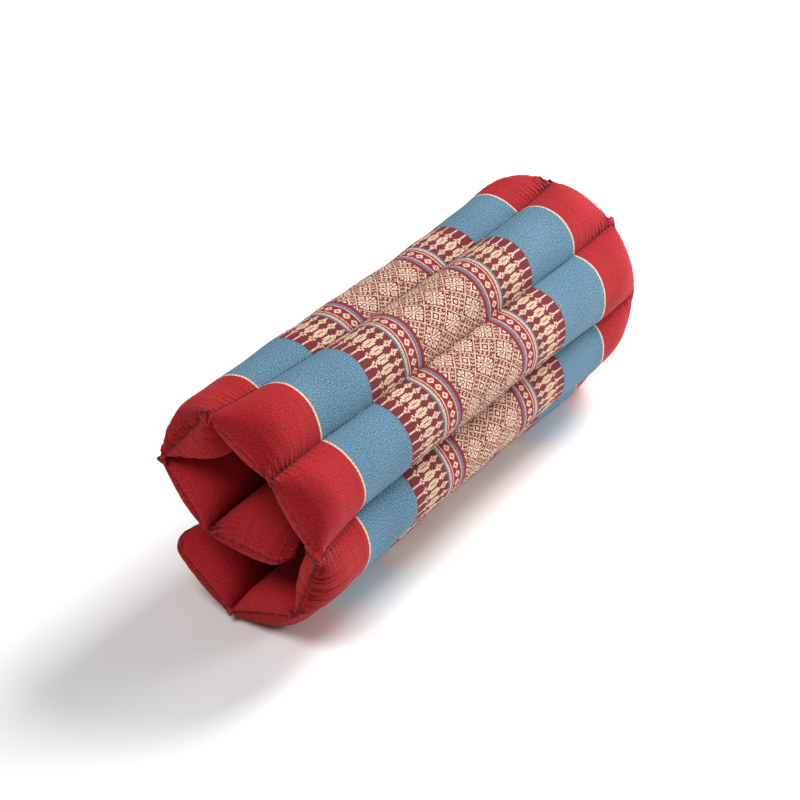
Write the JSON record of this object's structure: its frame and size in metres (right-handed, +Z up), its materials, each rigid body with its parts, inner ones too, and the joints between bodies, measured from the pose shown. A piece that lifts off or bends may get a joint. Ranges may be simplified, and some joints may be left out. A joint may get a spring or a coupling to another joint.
{
  "type": "rolled meditation cushion",
  "caption": "Filled cotton mat with sewn channels, rolled up along its channels into a cushion roll, patterned outside and plain red inside.",
  "frame": {"origin": "middle of the roll's footprint, on the surface it rests on", "axes": "+X along the roll's channels, +Z up, +Y towards the side with the mat's loose outer edge"},
  "size_m": [0.5, 0.1759, 0.199],
  "materials": {
    "red_cotton": "plain woven red cotton, matt",
    "patterned_cotton": "woven cotton in burgundy and cream patterned bands, blue bands and red ends",
    "sewing_thread": "dark twisted sewing thread"
  },
  "bodies": {
    "root": {"rolled_cushion": "red_cotton"}
  },
  "joints": []
}
